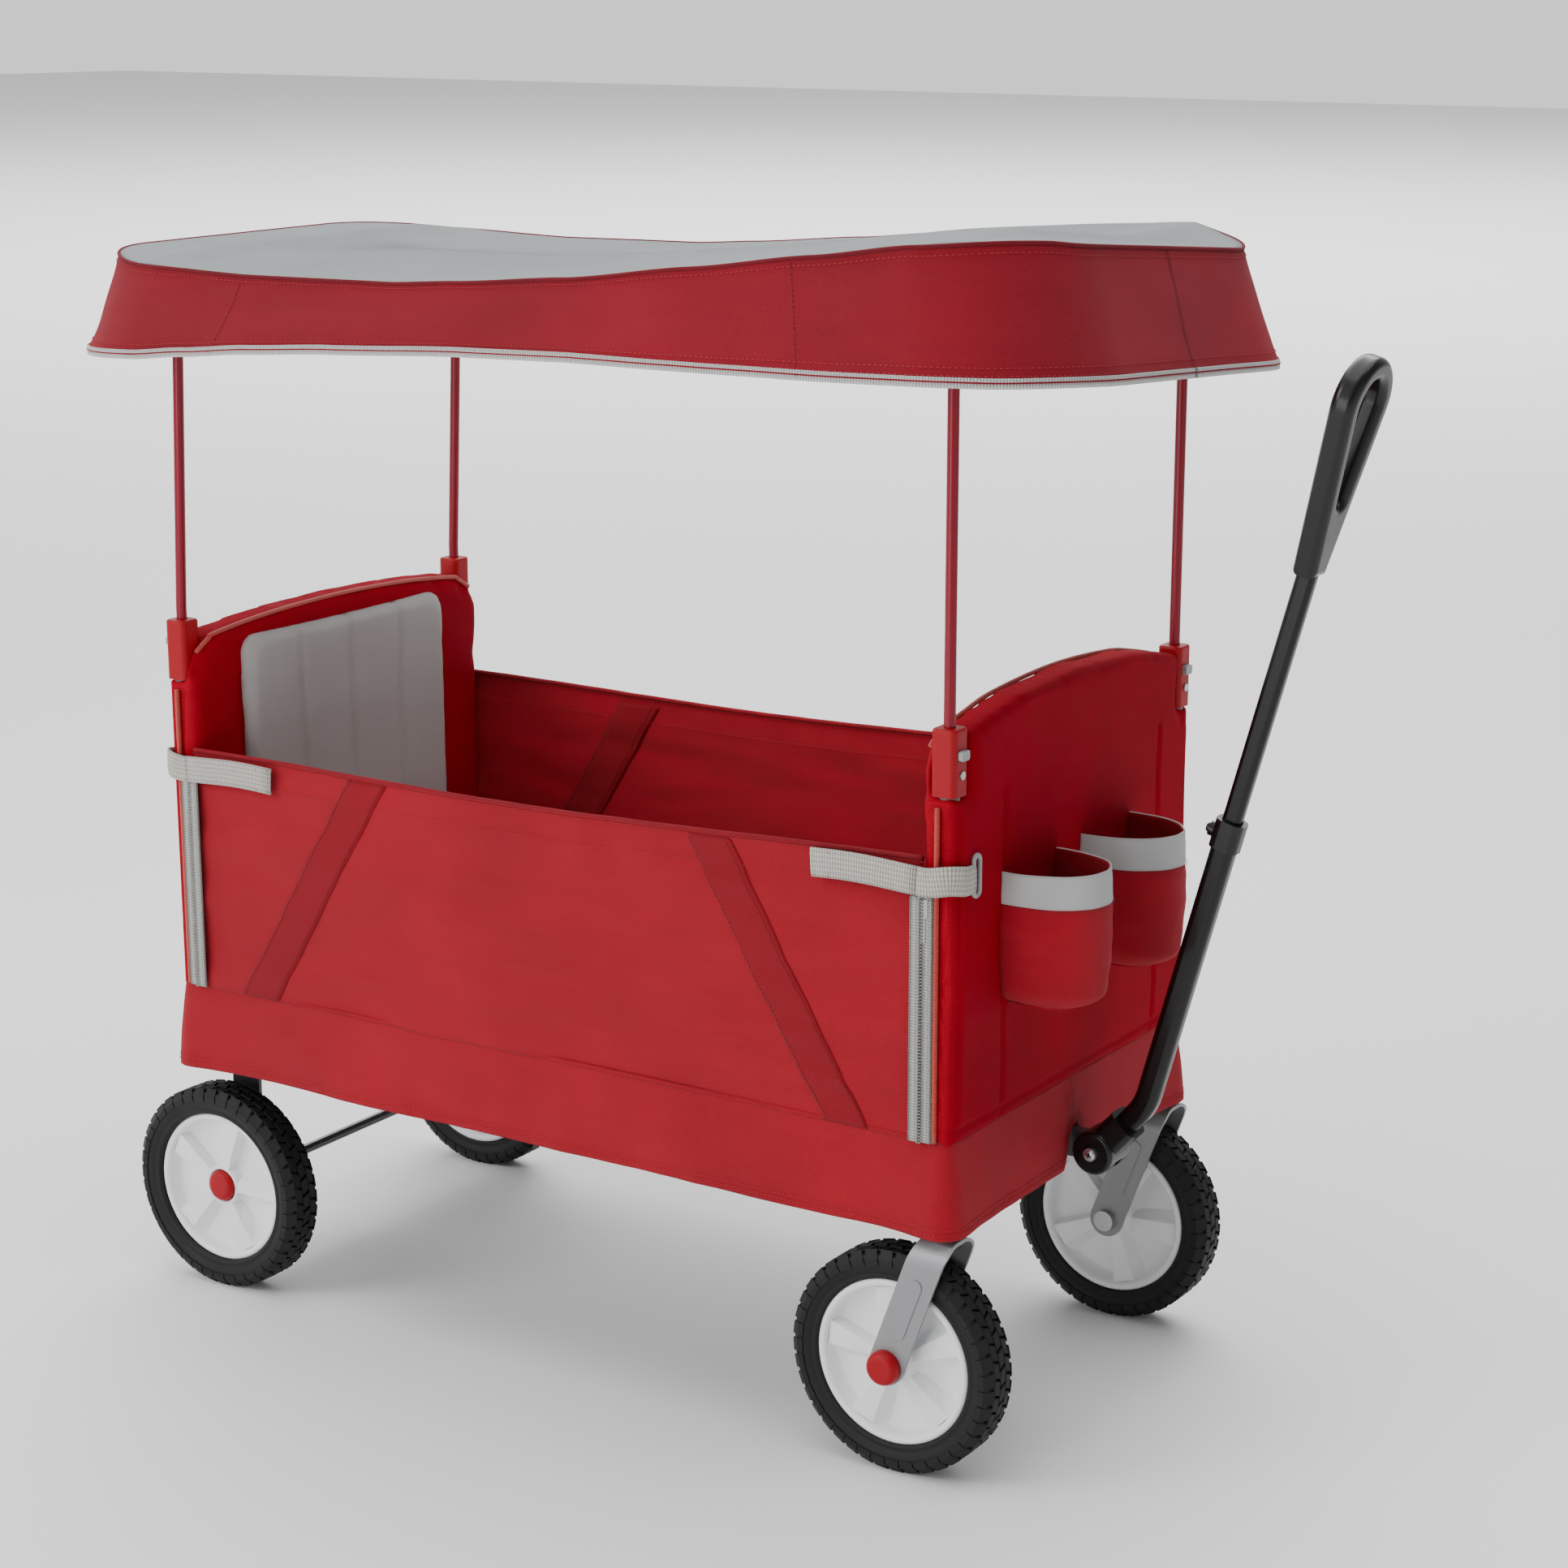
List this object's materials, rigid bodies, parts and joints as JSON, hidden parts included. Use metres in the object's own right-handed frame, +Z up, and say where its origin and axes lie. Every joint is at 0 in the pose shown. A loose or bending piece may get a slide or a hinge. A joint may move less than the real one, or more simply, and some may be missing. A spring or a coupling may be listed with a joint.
{
  "type": "kids pull wagon",
  "caption": "Folding fabric pull wagon for children with a pole-mounted canopy, swivel front casters, drop-down side and telescoping pull handle.",
  "frame": {"origin": "on the ground below the middle of the overall length and width", "axes": "+X forward, the way the wagon is pulled; +Y to its left; +Z up"},
  "size_m": [1.2494, 0.522, 1.0595],
  "materials": {
    "red_fabric": "woven polyester, matt with a light sheen",
    "canopy_fabric": "woven polyester, red skirt and light grey top",
    "grey_pad": "woven polyester over foam",
    "floor_fabric": "woven polyester over thin foam",
    "tyre_rubber": "black foam rubber with a block tread",
    "rim_plastic": "white moulded plastic",
    "frame_steel": "dark grey powder coat",
    "fork_steel": "silver grey powder coat",
    "pole_steel": "glossy deep red coat",
    "red_plastic": "red moulded plastic",
    "grey_plastic": "grey moulded plastic",
    "board_plastic": "black blow-moulded plastic",
    "black_plastic": "black moulded plastic",
    "handle_steel": "gloss black coat",
    "zinc_steel": "zinc plated",
    "zip_metal": "grey painted zip slider",
    "hem_wire": "light grey flat spring hoop"
  },
  "bodies": {
    "rear_frame": {"rear_hoop": "frame_steel", "rear_axle": "frame_steel", "rear_axle_legs": "frame_steel", "rear_axle_caps": "red_plastic", "rear_pole_holders": "red_plastic", "rear_holder_rivets": "zinc_steel", "rear_floor_hinges": "frame_steel", "rear_end_panel": "red_fabric", "rear_back_pad": "grey_pad", "lower_skirt": "red_fabric", "left_side_panel": "red_fabric"},
    "rear_floor": {"rear_floor_board": "board_plastic", "rear_floor_mat": "floor_fabric", "floor_middle_pins": "zinc_steel"},
    "front_floor": {"front_floor_board": "board_plastic", "front_floor_mat": "floor_fabric"},
    "front_frame": {"front_hoop": "frame_steel", "front_swivel_housings": "fork_steel", "front_pole_holders": "red_plastic", "front_holder_rivets": "zinc_steel", "front_floor_hinges": "frame_steel", "front_end_panel": "red_fabric", "front_back_pad": "grey_pad", "cup_pockets": "red_fabric", "handle_bracket": "frame_steel"},
    "side_drop": {"right_side_panel": "red_fabric"},
    "rear_zip": {"rear_zip_slider": "zip_metal"},
    "front_zip": {"front_zip_slider": "zip_metal"},
    "rear_canopy": {"rear_canopy_bow": "pole_steel", "canopy_cover": "canopy_fabric", "canopy_hem_hoop": "hem_wire"},
    "front_canopy": {"front_canopy_bow": "pole_steel"},
    "handle": {"handle_hub": "black_plastic", "handle_pivot_bolt": "zinc_steel", "handle_lower_tube": "handle_steel", "handle_collar": "black_plastic"},
    "handle_slider": {"handle_upper_tube": "handle_steel", "grip_front_half": "black_plastic", "grip_rear_half": "black_plastic"},
    "handle_button": {"handle_lock_button": "black_plastic"},
    "right_caster": {"right_caster_fork": "fork_steel", "right_caster_stem": "zinc_steel", "right_caster_axle": "zinc_steel", "right_caster_cap": "red_plastic"},
    "rear_right_wheel": {"rear_right_tyre": "tyre_rubber", "rear_right_rim": "rim_plastic"},
    "rear_right_tab": {"rear_right_release_tab": "grey_plastic"},
    "front_right_wheel": {"front_right_tyre": "tyre_rubber", "front_right_rim": "rim_plastic"},
    "front_right_tab": {"front_right_release_tab": "grey_plastic"},
    "left_caster": {"left_caster_fork": "fork_steel", "left_caster_stem": "zinc_steel", "left_caster_axle": "zinc_steel", "left_caster_cap": "red_plastic"},
    "rear_left_wheel": {"rear_left_tyre": "tyre_rubber", "rear_left_rim": "rim_plastic"},
    "rear_left_tab": {"rear_left_release_tab": "grey_plastic"},
    "front_left_wheel": {"front_left_tyre": "tyre_rubber", "front_left_rim": "rim_plastic"},
    "front_left_tab": {"front_left_release_tab": "grey_plastic"}
  },
  "joints": [
    {"name": "floor_fold", "type": "hinge", "parent": "rear_frame", "child": "rear_floor", "pos_m": [-0.46681, 0, 0.298], "axis": [0, -1, 0], "range_deg": [0, 75], "deforming": ["lower_skirt", "left_side_panel", "right_side_panel", "canopy_cover", "canopy_hem_hoop"]},
    {"name": "floor_fold_middle", "type": "hinge", "parent": "rear_floor", "child": "front_floor", "pos_m": [-0.07681, 0, 0.283], "axis": [0, 1, 0], "range_deg": [0, 150]},
    {"name": "floor_fold_front", "type": "hinge", "parent": "front_floor", "child": "front_frame", "pos_m": [0.31319, 0, 0.298], "axis": [0, -1, 0], "range_deg": [0, 75]},
    {"name": "side_panel_drop", "type": "hinge", "parent": "rear_frame", "child": "side_drop", "pos_m": [-0.07681, -0.2185, 0.306], "axis": [1, 0, 0], "range_deg": [0, 155]},
    {"name": "rear_zip_slide", "type": "slide", "parent": "rear_frame", "child": "rear_zip", "axis": [0, 0, 1], "range_m": [-0.17, 0]},
    {"name": "front_zip_slide", "type": "slide", "parent": "front_frame", "child": "front_zip", "axis": [0, 0, 1], "range_m": [-0.17, 0]},
    {"name": "canopy_lift", "type": "slide", "parent": "rear_frame", "child": "rear_canopy", "axis": [0, 0, 1], "range_m": [0, 0.06]},
    {"name": "front_bow_lift", "type": "slide", "parent": "front_frame", "child": "front_canopy", "axis": [0, 0, 1], "range_m": [0, 0.06]},
    {"name": "handle_pitch", "type": "hinge", "parent": "front_frame", "child": "handle", "pos_m": [0.38719, 0, 0.246], "axis": [0, 1, 0], "range_deg": [-5, 88]},
    {"name": "handle_telescope", "type": "slide", "parent": "handle", "child": "handle_slider", "axis": [0.2656, 0, 0.9641], "range_m": [-0.215, 0]},
    {"name": "handle_button_press", "type": "slide", "parent": "handle", "child": "handle_button", "axis": [0.9641, 0, -0.2656], "range_m": [0, 0.002], "stiffness_N_per_m": 400, "springref_m": -0.002},
    {"name": "right_caster_swivel", "type": "hinge", "parent": "front_frame", "child": "right_caster", "pos_m": [0.34479, -0.203, 0.2202], "axis": [0, 0, 1], "continuous": true},
    {"name": "rear_right_wheel_spin", "type": "hinge", "parent": "rear_frame", "child": "rear_right_wheel", "pos_m": [-0.47281, -0.203, 0.1016], "axis": [0, 1, 0], "continuous": true},
    {"name": "front_right_wheel_spin", "type": "hinge", "parent": "right_caster", "child": "front_right_wheel", "pos_m": [0.30319, -0.203, 0.1016], "axis": [0, 1, 0], "continuous": true},
    {"name": "rear_right_tab_press", "type": "slide", "parent": "rear_frame", "child": "rear_right_tab", "axis": [1, 0, 0], "range_m": [0, 0.002], "stiffness_N_per_m": 400, "springref_m": -0.002},
    {"name": "front_right_tab_press", "type": "slide", "parent": "front_frame", "child": "front_right_tab", "axis": [-1, 0, 0], "range_m": [0, 0.002], "stiffness_N_per_m": 400, "springref_m": -0.002},
    {"name": "left_caster_swivel", "type": "hinge", "parent": "front_frame", "child": "left_caster", "pos_m": [0.34479, 0.203, 0.2202], "axis": [0, 0, 1], "continuous": true},
    {"name": "rear_left_wheel_spin", "type": "hinge", "parent": "rear_frame", "child": "rear_left_wheel", "pos_m": [-0.47281, 0.203, 0.1016], "axis": [0, 1, 0], "continuous": true},
    {"name": "front_left_wheel_spin", "type": "hinge", "parent": "left_caster", "child": "front_left_wheel", "pos_m": [0.30319, 0.203, 0.1016], "axis": [0, 1, 0], "continuous": true},
    {"name": "rear_left_tab_press", "type": "slide", "parent": "rear_frame", "child": "rear_left_tab", "axis": [1, 0, 0], "range_m": [0, 0.002], "stiffness_N_per_m": 400, "springref_m": -0.002},
    {"name": "front_left_tab_press", "type": "slide", "parent": "front_frame", "child": "front_left_tab", "axis": [-1, 0, 0], "range_m": [0, 0.002], "stiffness_N_per_m": 400, "springref_m": -0.002}
  ],
  "couplings": [
    {"joint": "floor_fold_middle", "follows": "floor_fold", "ratio": 2},
    {"joint": "floor_fold_front", "follows": "floor_fold", "ratio": 1},
    {"joint": "front_bow_lift", "follows": "canopy_lift", "ratio": 1}
  ]
}
